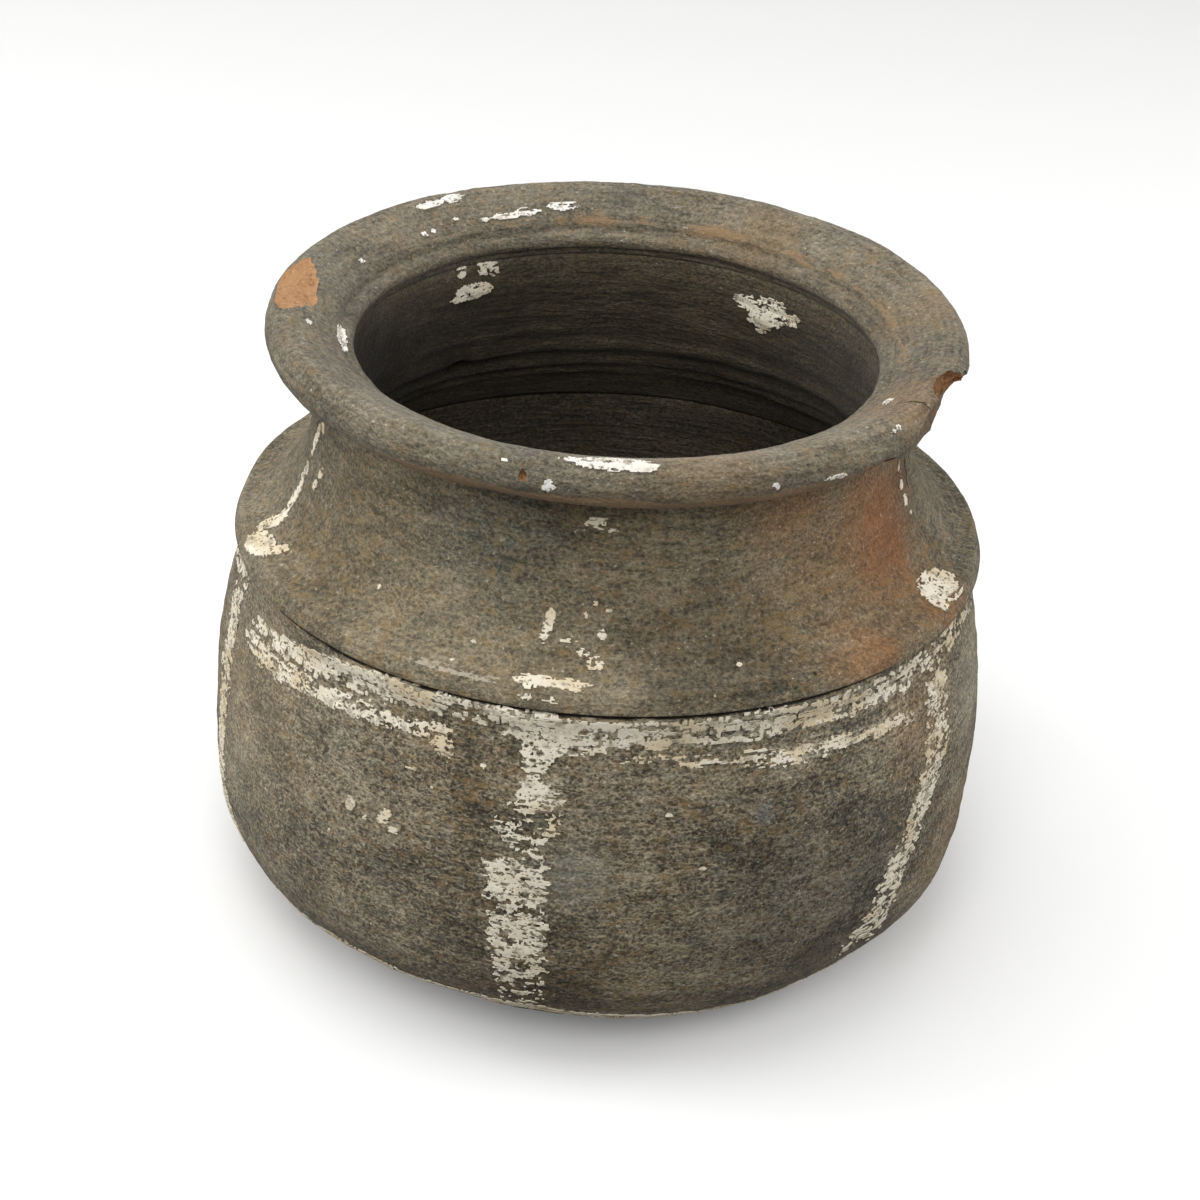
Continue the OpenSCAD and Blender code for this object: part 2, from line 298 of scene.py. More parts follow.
def bowl_relief(points, normals):
    z = points[:, 2]
    reach = np.hypot(points[:, 0], points[:, 1])
    outside = (normals[:, 0] * points[:, 0] + normals[:, 1] * points[:, 1]) / np.maximum(reach, 1) > 0
    clear = np.clip(z / 18, 0, 1) * np.clip((crease_z - z) / 2.5, 0, 1)
    beaten = 0.42 * bumps(points, (34, 34, 30), 3.1)
    wiped = 0.13 * bumps(points, (42, 42, 3.6), 17.4) + 0.10 * bumps(points, (6, 6, 4), 8.8)
    ribs = 0.35 * bumps(points, (90, 90, 5), 41.0)
    in_front = front_crack(points)[1]
    seam = -1.2 * (1 - in_front) * np.exp(-((crease_z - z - 0.9) / 0.75) ** 2)
    return clear * np.where(outside, beaten + wiped, beaten + ribs) + np.where(outside, seam + bowl_lip(points), 0)


bowl_outer = bowl_side(0, rest_r, belly_r, crease_r, crease_z)
bowl_inner = bowl_side(floor_t, rest_r - bowl_wall, belly_r - bowl_wall, crease_r - bowl_wall, scarf_z)
bowl_edge = [q for q in bowl_outer if q[1] > crease_z - 4.5]
bowl_below = [q for q in bowl_outer if q[1] <= crease_z - 4.5] + bowl_edge[:1]
bowl = turned("clay_bowl", evenly([(0, 0), (rest_r, 0)], 5) + evenly(bowl_below, 1.6)[1:] + evenly(bowl_edge, 0.25)[1:]
              + evenly([bowl_outer[-1], bowl_inner[-1]], 5)[1:] + evenly(bowl_inner[::-1], 3.2)[1:]
              + evenly([bowl_inner[0], (0, floor_t)], 6)[1:])
bowl_true = points_of(bowl)
shaped(bowl, bowl_relief)


def spot(azimuth, reach, z):
    """A place on the jar, in metres, from its angle round it, its distance from the axis and its height."""
    turn = math.radians(azimuth)
    return (reach * math.cos(turn) * MM, reach * math.sin(turn) * MM, z * MM)


def clay(name, body, dark, pale, warm, cool, mottling=1.0, wiping=0.55, hues=1.0,
         blushes=(), greys=(), soot=0.8):
    """Smoke-stained terracotta: mottled grey-brown with sandy grain, warmer where the fire reached it."""
    material = bpy.data.materials.new(name)
    material.use_nodes = True
    start = Wire(material.node_tree)
    where = start.node("ShaderNodeTexCoord", out="Object")

    def cloud(size, detail=3.0, rough=0.55, stretch=(1, 1, 1), shift=0.0):
        place = where.node("ShaderNodeMapping", None, {"Vector": where, "Location": (shift, shift * 0.7, -shift),
                                                       "Scale": tuple(1 / (size * MM * s) for s in stretch)})
        return place.node("ShaderNodeTexNoise", {"noise_dimensions": "3D"},
                          {"Vector": place, "Scale": 1.0, "Detail": detail, "Roughness": rough})

    # Marks of the wheel: noise drawn out round the axis, fine along the wall or across the rim
    apart = where.node("ShaderNodeSeparateXYZ", None, {"Vector": where})
    x, y, z = (Wire(material.node_tree, apart.socket.node.outputs[k]) for k in range(3))
    reach = (x * x + y * y).maths("SQRT", x * x + y * y)
    round_it = start.node("ShaderNodeCombineXYZ", None, {"X": x.maths("DIVIDE", x, reach) * 7.0,
                                                         "Y": x.maths("DIVIDE", y, reach) * 7.0, "Z": reach * 700.0})
    wheel = start.node("ShaderNodeTexNoise", {"noise_dimensions": "4D"},
                       {"Vector": round_it, "W": z * 480.0, "Scale": 1.0, "Detail": 3.0, "Roughness": 0.6})

    patches = cloud(55, 4.0, 0.6, (1, 1, 0.7), 3.0)
    mottle = cloud(15, 4.0, 0.6, (1.4, 1.4, 0.8), 11.0)
    blotch = cloud(5.0, 3.0, 0.6, (1.3, 1.3, 0.8), 17.0)
    sand = cloud(1.25, 2.0, 0.6, (1.3, 1.3, 0.9), 23.0)
    curls = cloud(1.7, 1.0, 0.5, (1.3, 1.3, 0.9), 53.0) - 0.5
    curls = curls.maths("ABSOLUTE", curls).ramp(0.0, 0.11, 1.0, 0.0)
    specks = cloud(0.8, 1.0, 0.5, (1, 1, 1), 47.0)
    hue = cloud(3.2, 3.0, 0.6, (1.4, 1.4, 0.8), 31.0) * 0.72 + cloud(28, 2.0, 0.5, (1, 1, 1), 61.0) * 0.28

    large = patches * 0.66 + mottle * 0.46 + blotch * 0.42 - 0.77
    fine = wheel * wiping + sand * 0.95 + specks * 0.5 + curls * 0.20 - (0.785 + wiping / 2)
    tone = (large + fine) * mottling + 0.5
    darkest = tuple(0.38 * c for c in paint(*dark)[:3]) + (1.0,)
    palest = paint(*(c + 34 for c in pale))
    skin = tone.node("ShaderNodeValToRGB", {"stops": [(0.08, darkest), (0.34, paint(*dark)), (0.50, paint(*body)),
                                                      (0.66, paint(*pale)), (0.94, palest)]}, {"Fac": tone})
    skin = skin.tint(paint(*warm), hue.ramp(0.50, 0.68) * (0.62 * hues))
    skin = skin.tint(paint(*cool), hue.ramp(0.50, 0.34) * (0.42 * hues))

    def stained(skin, stains, keeps):
        """Stains the skin at each place, and keeps some of its own light and dark there."""
        for azimuth, reach, z, radius, strength, colour in stains:
            far = where.node("ShaderNodeVectorMath", {"operation": "DISTANCE"},
                             {0: where, 1: spot(azimuth, reach, z)}, out="Value")
            near = (far + (mottle - 0.5) * (radius * 1.2 * MM)).ramp(radius * 1.05 * MM, radius * 0.2 * MM)
            share = tuple(c / b for c, b in zip(paint(*colour)[:3], paint(*body)[:3])) + (1.0,)
            own = skin.node("ShaderNodeMix", {"data_type": "RGBA", "blend_type": "MULTIPLY"},
                            {0: 1.0, 6: skin, 7: share}, out=2)
            own = own.tint(paint(*colour), 1.0 - keeps)
            skin = skin.node("ShaderNodeMix", {"data_type": "RGBA"}, {0: near * strength, 6: skin, 7: own}, out=2)
        return skin

    skin = stained(stained(skin, blushes, 0.55), greys, 1.0)
    worn = where.node("ShaderNodeAttribute", {"attribute_name": "worn"}, out="Fac")
    skin = skin.tint(paint(154, 122, 86), (worn + (wheel - 0.5) * 1.5 + (mottle - 0.5) * 1.6).ramp(0.42, 0.80) * 0.6)
    skin = skin.tint(paint(214, 206, 190), (sand * 0.5 + specks * 0.5).ramp(0.66, 0.70) * 0.75)
    lime_haze = where.node("ShaderNodeAttribute", {"attribute_name": "haze"}, out="Fac")
    thin_lime = (lime_haze + (sand - 0.5) * 1.5 + (wheel - 0.5) * 1.1).ramp(0.48, 0.85)
    skin = skin.tint(paint(206, 198, 178), thin_lime * 0.55)
    # Soot with painted shade inside the jar, and painted shade in cracks, darken the skin here
    if soot:
        darkening = where.node("ShaderNodeAttribute", {"attribute_name": "soot"}, out="Fac")
        skin = skin.tint(paint(50, 44, 34), darkening * soot * (mottle * 0.8 + blotch * 0.5 + 0.38))

    drag = wheel * (darkening * 1.4 + 0.55) if soot else wheel * 0.55
    relief = sand * 0.6 + specks * 0.4 + drag + blotch * 0.7
    normal = relief.node("ShaderNodeBump", None, {"Strength": 0.85, "Distance": 0.0011, "Height": relief})
    shader = material.node_tree.nodes["Principled BSDF"]
    shader.inputs["Specular IOR Level"].default_value = 0.13
    shader.inputs["Sheen Weight"].default_value = 0.12
    shader.inputs["Sheen Roughness"].default_value = 0.45
    material.node_tree.links.new(skin.socket, shader.inputs["Base Color"])
    material.node_tree.links.new((sand * 0.22 + 0.74).socket, shader.inputs["Roughness"])
    material.node_tree.links.new(normal.socket, shader.inputs["Normal"])
    return material


def shade(piece, name, values):
    """Keeps a value from 0 to 1 at each point of a piece, for its finish to read."""
    layer = piece.data.attributes.new(name, "FLOAT", "POINT")
    layer.data.foreach_set("value", np.asarray(values, dtype=np.float32))


def turn_of(points):
    return np.degrees(np.arctan2(points[:, 1], points[:, 0]))


def darkened_inside(piece, top_z, dirt=0.0):
    """Soot with painted shade inside the jar, from faint at the mouth to full below the neck, darker on the left and
    lighter at the height of the joint's groove as painted light; the dirt given is painted shade in a crack.
    """
    points = points_of(piece)
    flat = np.empty(len(points) * 3)
    piece.data.vertices.foreach_get("normal", flat)
    normals = flat.reshape(-1, 3)
    inward = -(normals[:, :2] * points[:, :2]).sum(1) / np.maximum(np.hypot(*points[:, :2].T), 1)
    deep = np.clip((top_z - points[:, 2]) / 30, 0, 1) * (1 - 0.4 * np.exp(-((points[:, 2] - 134) / 9) ** 2))
    deep = deep * (0.79 + 0.3 * np.exp(-((np.abs(turn_of(points)) - 180) / 45) ** 2))
    shade(piece, "soot", np.maximum(np.clip(inward * 2 + 0.2, 0, 1) * deep, dirt))


bowl_clay = clay("clay_bowl", (122, 112, 94), (88, 81, 68), (150, 139, 116), (148, 124, 86), (109, 111, 102),
                 mottling=1.2, wiping=0.45, soot=0.85,
                 blushes=[(-35, 122, 108, 30, 0.4, (146, 118, 86)), (-16, 124, 100, 26, 0.75, (148, 138, 120)),
                          (-150, 124, 96, 50, 0.6, (148, 134, 110)),
                          (-20, 124, 40, 44, 0.5, (138, 116, 88)), (-65.5, 124, 98, 6, 0.9, (146, 146, 142)),
                          (-72, 123, 104, 4.5, 0.8, (142, 138, 128)), (-90.5, 128, 80, 16, 0.9, (142, 137, 122))],
                 greys=[(-58, 126, 62, 54, 0.9, (92, 86, 74)), (-92, 112, 22, 46, 0.9, (90, 80, 66)),
                        (-50, 112, 18, 46, 0.75, (92, 82, 68)), (-71, 129.6, 70, 1.1, 1.0, (40, 36, 30))])
bowl.data.materials.append(bowl_clay)
# Painted shade in the crack under the ridge, laid in with the soot
crack, opened = front_crack(bowl_true)
crack_shade = 1.6 * np.clip((crack + 0.5 - (crease_z - bowl_true[:, 2])) / 0.2, 0, 1) * opened
darkened_inside(bowl, 190, crack_shade * (bowl_true[:, 2] > scarf_z))
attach(bowl, "root")
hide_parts("lower_bowl")

# The shoulder. A thrown ring of the same clay: its foot laps over the bowl's
# edge as a ridge, and its wall draws in to the short neck. Luted on with slip.
ridge_r, ridge_h, shoulder_r = 123.3, 6.5, 119.2
neck_r, neck_z, neck_wall = 95.0, 191.5, 8.5
foot_z = crease_z + ridge_h


def arc(middle, radius, start, end, steps):
    turns = [math.radians(start + (end - start) * k / steps) for k in range(steps + 1)]
    return [(middle[0] + radius * math.cos(t), middle[1] + radius * math.sin(t)) for t in turns]


def shoulder_at(turn, inset=0.0):
    """A place on the quarter ellipse of the shoulder, or inset mm inside it."""
    turn = math.radians(turn)
    place = (shoulder_r - (shoulder_r - neck_r) * math.sin(turn), foot_z + (neck_z - foot_z) * (1 - math.cos(turn)))
    out = ((neck_z - foot_z) * math.sin(turn), (shoulder_r - neck_r) * math.cos(turn))
    return tuple(p - inset * q / math.hypot(*out) for p, q in zip(place, out))


def shoulder_relief(points, normals):
    z = points[:, 2]
    reach = np.hypot(points[:, 0], points[:, 1])
    outside = (normals[:, 0] * points[:, 0] + normals[:, 1] * points[:, 1]) / reach > -0.2
    clear = np.clip((neck_z - z) / 3, 0, 1) * np.clip((z - crease_z) / 2, 0, 1)
    thrown = 0.20 * bumps(points, (70, 70, 3.2), 12.0) + 0.22 * bumps(points, (30, 30, 18), 2.2)
    rough = 0.09 * bumps(points, (5, 5, 4), 7.7)
    ribs = sum(high * np.exp(-((z - level - 0.02 * points[:, 0]) / wide) ** 2)
               for level, high, wide in ((142.0, 1.2, 1.1), (147.2, 1.6, 1.5), (154.7, 1.9, 2.0), (163.0, 0.7, 2.2)))
    azimuth = np.degrees(np.arctan2(points[:, 1], points[:, 0]))
    scored = -0.32 * np.exp(-((z - 139.6 - 0.012 * points[:, 1]) / 0.35) ** 2) - 0.25 * np.exp(-((z - 141.6) / 0.4) ** 2)
    scored = scored * np.clip(0.6 + 0.8 * bumps(points, (30, 30, 30), 15.5), 0, 1.3)
    for middle, level, wide, tall, push in ((127, 150, 2.4, 3.0, 3.8), (121.5, 157.5, 4, 4, -1.6), (-160, 166, 14, 12, 0.8)):
        away = (azimuth - middle + 180) % 360 - 180
        ribs = ribs - push * np.exp(-(away / wide) ** 2 - ((z - level) / tall) ** 2)
    fingers = 0.22 * bumps(points, (26, 26, 2.2), 33.0)
    return clear * np.where(outside, thrown + rough + scored, thrown * 1.6 + ribs + fingers)


shoulder_outer = [shoulder_at(t) for t in range(0, 91)]
shoulder_inner = [shoulder_at(t, neck_wall) for t in range(25, 91)]
scarf_inner = (bowl_radius(scarf_z, floor_t, rest_r - bowl_wall, belly_r - bowl_wall, crease_r - bowl_wall), scarf_z)
ridge_edge, ridge_slope, ridge_top = 0.5, 1.5, 2.6
ridge = arc((ridge_r - 0.1 - ridge_edge, crease_z + ridge_edge), ridge_edge, -90, 8, 6)
ridge += arc((ridge_r - ridge_slope - ridge_top, foot_z - ridge_top + 0.1), ridge_top, 8, 72, 10)
shoulder = turned("clay_shoulder", evenly([scarf_inner, (crease_r, crease_z)], 4) + evenly([(crease_r, crease_z), ridge[0]], 0.8)[1:]
                  + evenly(ridge, 0.9)[1:] + evenly([ridge[-1]] + shoulder_outer, 1.4)[1:]
                  + evenly([shoulder_outer[-1], shoulder_inner[-1]], 4)[1:]
                  + evenly(shoulder_inner[::-1] + [scarf_inner], 1.8)[1:])
shoulder_true = points_of(shoulder)
shaped(shoulder, shoulder_relief)
shoulder_clay = clay("clay_shoulder", (120, 111, 92), (84, 78, 65), (150, 138, 114), (150, 124, 82), (106, 108, 98),
                     mottling=0.7, wiping=0.55, hues=0.9, soot=0.95,
                     blushes=[(-40, 108, 162, 52, 0.5, (142, 114, 82)), (-30, 103, 166, 30, 0.75, (140, 97, 64)),
                              (-48, 121, 139, 20, 0.62, (154, 116, 80)), (-57, 96, 186, 22, 0.5, (148, 114, 80)),
                              (-140, 110, 156, 44, 0.35, (132, 118, 92)), (-26, 121, 138, 20, 0.5, (152, 114, 78)),
                              (-98, 119, 140, 20, 0.3, (136, 122, 96))],
                     greys=[(-110, 100, 176, 30, 0.5, (104, 104, 94)), (-75, 112, 150, 34, 0.8, (95, 87, 72)),
                            (-64, 113, 150, 22, 0.6, (98, 88, 71)),
                            (-95, 96, 188, 26, 0.4, (96, 88, 72)), (-57.5, 120, 140.3, 1.2, 1.0, (46, 40, 32))])
# Lime dust lies in the scored line along the ridge
line_off = (shoulder_true[:, 2] - 138.7) / 0.55
line_end = np.clip(2 - 2 * np.abs(turn_of(shoulder_true) + 111) / 11, 0, 1)
shade(shoulder, "haze", 0.85 * np.exp(-line_off ** 2) * line_end)
shoulder.data.materials.append(shoulder_clay)
# Painted shade in the crack at the ridge's underside, laid in with the soot
darkened_inside(shoulder, 209, 1.6 * front_crack(shoulder_true)[1] * (np.abs(shoulder_true[:, 2] - crease_z) < 0.08))
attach(shoulder, "root")
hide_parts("shoulder")

# The rim. A thick everted ring of clay, luted on the neck: rolled edge, dished
# top, and a groove and bead inside the mouth as a lid seat. Use has bitten and
# flaked its edge down to the raw orange clay.
rim_r, rim_round, rim_rise = 111.9, 8.0, 11.2
land_w, mouth_r, dish_drop, dish_start = 3.0, 89.3, 7.6, 4.0
seat_drop, bead_round = 2.5, 2.4
roll_middle = (rim_r - rim_round, neck_z + rim_rise)
roll = arc(roll_middle, rim_round, -90, 60, 40)
land_out = roll[-1]
land_in = (land_out[0] - land_w, land_out[1])
mouth_z = land_out[1] - dish_drop
throat_r = neck_r - neck_wall
bead_middle = (throat_r + 0.1, mouth_z - seat_drop - bead_round - 0.8)
under_lip = [(neck_r + (roll_middle[0] - neck_r) * (1 - math.cos(math.radians(t))),
              neck_z + (rim_rise - rim_round) * math.sin(math.radians(t))) for t in range(0, 91, 6)]
dish_bend = (land_in[0] - dish_start, land_in[1] - 0.6)
dish = [tuple((1 - s) ** 2 * a + 2 * s * (1 - s) * b + s * s * c for a, b, c in zip(land_in, dish_bend, (mouth_r, mouth_z)))
        for s in np.linspace(0, 1, 25)]
seat = [dish[-1], (mouth_r - 0.9, mouth_z - seat_drop)]
bead = arc(bead_middle, bead_round, 100, 255, 14)


def rim_relief(points, normals):
    z = points[:, 2]
    clear = np.clip((z - neck_z) / 3, 0, 1)
    wiped = 0.10 * bumps(points, (16, 16, 3), 4.4) + 0.22 * bumps(points, (26, 26, 20), 9.9)
    rough = 0.10 * bumps(points, (3.5, 3.5, 3), 14.0)
    return clear * (wiped + rough)


rim = turned("clay_rim", evenly(under_lip, 1.1) + evenly(roll, 1.0)[1:] + evenly([land_out, land_in], 1.0)[1:] + evenly(dish, 1.0)[1:]
             + evenly(seat, 1.0)[1:] + evenly([seat[-1]] + bead, 0.8)[1:] + evenly([bead[-1], (throat_r, neck_z)], 1.2)[1:]
             + evenly([(throat_r, neck_z), (neck_r, neck_z)], 4)[1:], 560)
rim_true = points_of(rim)
shaped(rim, rim_relief)
rim_clay = clay("clay_rim", (117, 109, 93), (88, 81, 69), (141, 131, 111), (150, 124, 86), (108, 110, 103),
                mottling=0.64, wiping=0.85, hues=0.65, soot=0.78,
                blushes=[(-30, 104, 206, 22, 0.45, (146, 116, 82)), (-58, 98, 193, 13, 0.5, (150, 112, 80)),
                         (60, 92, 204, 20, 0.35, (148, 124, 88)), (10, 104, 207, 30, 0.4, (142, 124, 94)),
                         (-75, 109, 205, 26, 0.35, (142, 120, 90))],
                greys=[(-112, 108, 200, 40, 0.5, (106, 102, 88)), (170, 108, 205, 46, 0.4, (108, 106, 94)),
                       (10, 108, 206, 40, 0.7, (106, 99, 86))])
# Hands and lids have rubbed the mouth's edge, and the lower edge of the lip in front
reach_true = np.hypot(rim_true[:, 0], rim_true[:, 1])
mouth_rub = np.exp(-(np.hypot(reach_true - mouth_r - 1.4, rim_true[:, 2] - mouth_z) / 2.7) ** 2)
mouth_rub = mouth_rub * np.interp(turn_of(rim_true), [-180, -20, 0, 30, 105, 125, 180], [0.35, 0.3, 0.55, 0.95, 0.95, 0.6, 0.35])
mouth_rub = mouth_rub * np.clip(0.85 + 0.7 * bumps(rim_true, (14, 14, 14), 6.6, 2), 0, 1.2)
round_lip = np.degrees(np.arctan2(rim_true[:, 2] - roll_middle[1], reach_true - roll_middle[0]))
lip_rub = np.exp(-((round_lip + 38) / 22) ** 2) * np.clip((turn_of(rim_true) + 140) / 20, 0, 1)
lip_rub = lip_rub * np.clip((-36 - turn_of(rim_true)) / 15, 0, 1)
shade(rim, "worn", np.maximum(mouth_rub * 0.85, lip_rub))
rim.data.materials.append(rim_clay)
# Soot with painted shade inside the mouth
darkened_inside(rim, 206)


def raw_clay(name, colour, deep):
    material = bpy.data.materials.new(name)
    material.use_nodes = True
    start = Wire(material.node_tree)
    where = start.node("ShaderNodeTexCoord", out="Object")
    coarse = where.node("ShaderNodeTexNoise", None, {"Vector": where, "Scale": 380.0, "Detail": 5.0, "Roughness": 0.65})
    grit = where.node("ShaderNodeTexNoise", None, {"Vector": where, "Scale": 900.0, "Detail": 2.0})
    base = start.node("ShaderNodeRGB")
    base.socket.default_value = paint(*colour)
    skin = base.tint(paint(*deep), coarse.ramp(0.52, 0.30)).tint(paint(226, 196, 160), grit.ramp(0.58, 0.75) * 0.5)
    height = coarse + grit * 0.6
    normal = height.node("ShaderNodeBump", None, {"Strength": 0.9, "Distance": 0.0012, "Height": height})
    shader = material.node_tree.nodes["Principled BSDF"]
    shader.inputs["Roughness"].default_value = 0.92
    shader.inputs["Specular IOR Level"].default_value = 0.2
    material.node_tree.links.new(skin.socket, shader.inputs["Base Color"])
    material.node_tree.links.new(normal.socket, shader.inputs["Normal"])
    return material


def broken(piece, middle, size, turn, seed, finish, rough=1.0, square=2):
    """Breaks a bit off the piece: what is cut away is a rough lump, blunter where square is above 2."""
    bpy.ops.object.select_all(action="DESELECT")
    bpy.ops.mesh.primitive_ico_sphere_add(subdivisions=6, radius=1.0)
    lump = bpy.context.object
    flat = np.empty(len(lump.data.vertices) * 3)
    lump.data.vertices.foreach_get("co", flat)
    ball = flat.reshape(-1, 3)
    facets = 1 + rough * (0.16 * bumps(ball, (0.9,) * 3, seed, 2) + 0.05 * bumps(ball, (0.25,) * 3, seed + 5, 3))
    facets = facets / (np.abs(ball) ** square).sum(1) ** (1 / square)
    ball = ball * facets[:, None] * np.array(size)
    c, s = math.cos(math.radians(turn)), math.sin(math.radians(turn))
    ball = np.column_stack([ball[:, 0] * c - ball[:, 1] * s, ball[:, 0] * s + ball[:, 1] * c, ball[:, 2]]) + middle
    lump.data.vertices.foreach_set("co", (ball * MM).ravel())
    if finish.name not in piece.data.materials:
        piece.data.materials.append(finish)
    lump.data.materials.clear()
    for coat in piece.data.materials:
        lump.data.materials.append(coat)
    shown = list(piece.data.materials).index(finish)
    lump.data.polygons.foreach_set("material_index", [shown] * len(lump.data.polygons))
    bpy.ops.object.select_all(action="DESELECT")
    bpy.context.view_layer.objects.active = piece
    piece.select_set(True)
    cut = piece.modifiers.new("break", "BOOLEAN")
    cut.operation, cut.solver, cut.object = "DIFFERENCE", "EXACT", lump
    bpy.ops.object.modifier_apply(modifier="break")
    bpy.data.objects.remove(lump, do_unlink=True)


raw_orange = raw_clay("raw_clay", (184, 140, 100), (144, 106, 72))
bite_clay = raw_clay("bite_clay", (152, 108, 74), (74, 55, 40))


def on_jar(azimuth, reach, z):
    return as_built(np.array([spot(azimuth, reach, z)]) / MM)[0]


broken(rim, on_jar(-26, 122.5, 198.2), (15.7, 28.7, 16.0), -26, 3.3, rim_clay, 0.2)
broken(rim, on_jar(-16.1, 117.8, 196.2), (12.6, 24.1, 8.6), -13.4, 2.7, rim_clay, 0.25, 4)
broken(rim, on_jar(-21.3, 112.1, 205.7), (6.8, 10.6, 6.9), -24.2, 5.6, bite_clay, 0.7, 3)
broken(rim, on_jar(-16.5, 113.5, 204.6), (6.0, 5.5, 4.2), -10, 8.8, bite_clay, 0.8)
broken(rim, on_jar(-13.5, 114.5, 205.0), (4.0, 4.6, 3.4), -13.5, 5.1, rim_clay, 0.4)
broken(rim, on_jar(-44, 109.0, 195.5), (5.0, 11.0, 5.0), -44, 8.2, bite_clay)
broken(rim, on_jar(-31, 107.0, 209.6), (8.5, 0.42, 2.6), -6, 1.7, rim_clay)
broken(rim, on_jar(-102.5, 112.0, 205.0), (1.6, 1.1, 2.0), -102.5, 4.4, bite_clay)
broken(rim, on_jar(176, 101.2, 216.4), (12.6, 28.0, 9.0), 176, 6.1, raw_orange, 0.8)
broken(rim, on_jar(179, 97.2, 214.5), (11.0, 20.0, 8.2), 179, 7.3, raw_orange, 0.8)
broken(shoulder, on_jar(-15.5, 97.5, 171.0), (2.6, 0.35, 6.0), -12.0, 9.4, shoulder_clay)
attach(rim, "root")
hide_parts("rim")

# The limewash round the bowl. Lime slaked in water, brushed on in a stroke
# under the ridge, a thinner one below it and one round the foot; years of
# handling have worn it to a broken crust.
lime_thick = 0.34
lime_cell = 0.52


def skin_line(line, start=0.0):
    """Distance along a line in mm, with its radius and height there."""
    line = np.array(line, float)
    run = np.concatenate([[0], np.cumsum(np.hypot(*np.diff(line, axis=0).T))]) + start
    return run, line[:, 0], line[:, 1]


bowl_skin = skin_line(bowl_outer)
bowl_skin = (bowl_skin[0] - bowl_skin[0][-1],) + bowl_skin[1:]


def wear(azimuth, run, reach, seed, long, short):
    """How worn the lime is: noise drawn out along the brush, with fine grain and crooked gaps in it."""
    across = np.radians(azimuth) * reach
    laid = np.column_stack([across, run, np.zeros(len(run))])
    drawn = bumps(laid, (long, short, 1), seed, 3)
    flakes = bumps(laid, (3.6, 2.8, 1), seed + 3, 3)
    grain = bumps(laid, (1.5, 1.2, 1), seed + 9, 2)
    gaps = np.abs(bumps(laid, (3.0, 2.2, 1), seed + 20, 2))
    return 0.62 * drawn + 0.40 * flakes + 0.40 * grain - 0.58 * np.clip(1 - gaps / 0.17, 0, 1)


def limewash(name, nodes, ground, skin, patches, finish, long=11.0, short=1.2):
    """Brushed lime: a fine grid laid on the skin, kept where the brush left lime and wear hasn't taken it."""
    made = []
    for number, (left, right, low, high, cover) in enumerate(patches):
        reach = float(np.interp((low + high) / 2, skin[0], skin[1]))
        wide = math.radians(right - left) * reach
        bpy.ops.object.select_all(action="DESELECT")
        bpy.ops.mesh.primitive_grid_add(x_subdivisions=max(4, round(wide / lime_cell)),
                                        y_subdivisions=max(4, round((high - low) / lime_cell)), size=1.0)
        film = bpy.context.object
        mesh = film.data
        flat = np.empty(len(mesh.polygons) * 3)
        mesh.polygons.foreach_get("center", flat)
        middle = flat.reshape(-1, 3)
        azimuth = left + (middle[:, 0] + 0.5) * (right - left)
        run = low + (middle[:, 1] + 0.5) * (high - low)
        left_over = cover(azimuth, run)
        some = left_over > 0.02
        kept = np.zeros(len(middle), bool)
        kept[some] = left_over[some] - 0.5 + wear(azimuth[some], run[some], reach, 5.3 * number + len(name), long, short) > 0
        mesh.vertices.foreach_set("select", np.zeros(len(mesh.vertices), bool))
        mesh.edges.foreach_set("select", np.zeros(len(mesh.edges), bool))
        mesh.polygons.foreach_set("select", ~kept)

        flat = np.empty(len(mesh.vertices) * 3)
        mesh.vertices.foreach_get("co", flat)
        corner = flat.reshape(-1, 3)
        turn = np.radians(left + (corner[:, 0] + 0.5) * (right - left))
        run = low + (corner[:, 1] + 0.5) * (high - low)
        r, z = np.interp(run, skin[0], skin[1]), np.interp(run, skin[0], skin[2])
        if ground is bowl:
            up_r = np.interp(run + 0.5, skin[0], skin[1]) - np.interp(run - 0.5, skin[0], skin[1])
            up_z = np.interp(run + 0.5, skin[0], skin[2]) - np.interp(run - 0.5, skin[0], skin[2])
            swell = bowl_lip(np.column_stack([r * np.cos(turn), r * np.sin(turn), z])) / np.hypot(up_r, up_z)
            r, z = r + swell * up_z, z - swell * up_r
        laid = as_built(np.column_stack([r * np.cos(turn), r * np.sin(turn), z]))
        mesh.vertices.foreach_set("co", (laid * MM).ravel())

        bpy.ops.object.mode_set(mode="EDIT")
        bpy.ops.mesh.select_mode(type="FACE")
        bpy.ops.mesh.delete(type="FACE")
        bpy.ops.mesh.select_mode(type="EDGE")
        bpy.ops.mesh.select_all(action="DESELECT")
        bpy.ops.mesh.select_non_manifold()
        bpy.ops.mesh.vertices_smooth(factor=0.5, repeat=1)
        bpy.ops.object.mode_set(mode="OBJECT")
        if len(mesh.polygons):
            made.append(film)
        else:
            bpy.data.objects.remove(film, do_unlink=True)
    bpy.ops.object.select_all(action="DESELECT")
    for film in made:
        film.select_set(True)
    bpy.context.view_layer.objects.active = made[0]
    if len(made) > 1:
        bpy.ops.object.join()
    film = made[0]
    film.name = film.data.name = name
    press = film.modifiers.new("press", "SHRINKWRAP")
    press.target, press.wrap_method, press.wrap_mode, press.offset = ground, "NEAREST_SURFACEPOINT", "ABOVE_SURFACE", 0.08 * MM
    bpy.ops.object.modifier_apply(modifier="press")
    body = film.modifiers.new("body", "SOLIDIFY")
    body.thickness, body.offset = lime_thick * MM, 1.0
    bpy.ops.object.modifier_apply(modifier="body")
    bpy.ops.object.shade_smooth_by_angle(angle=math.radians(50))
    film.data.materials.append(finish)
    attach(film, "root")
    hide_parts(*nodes)
    return film


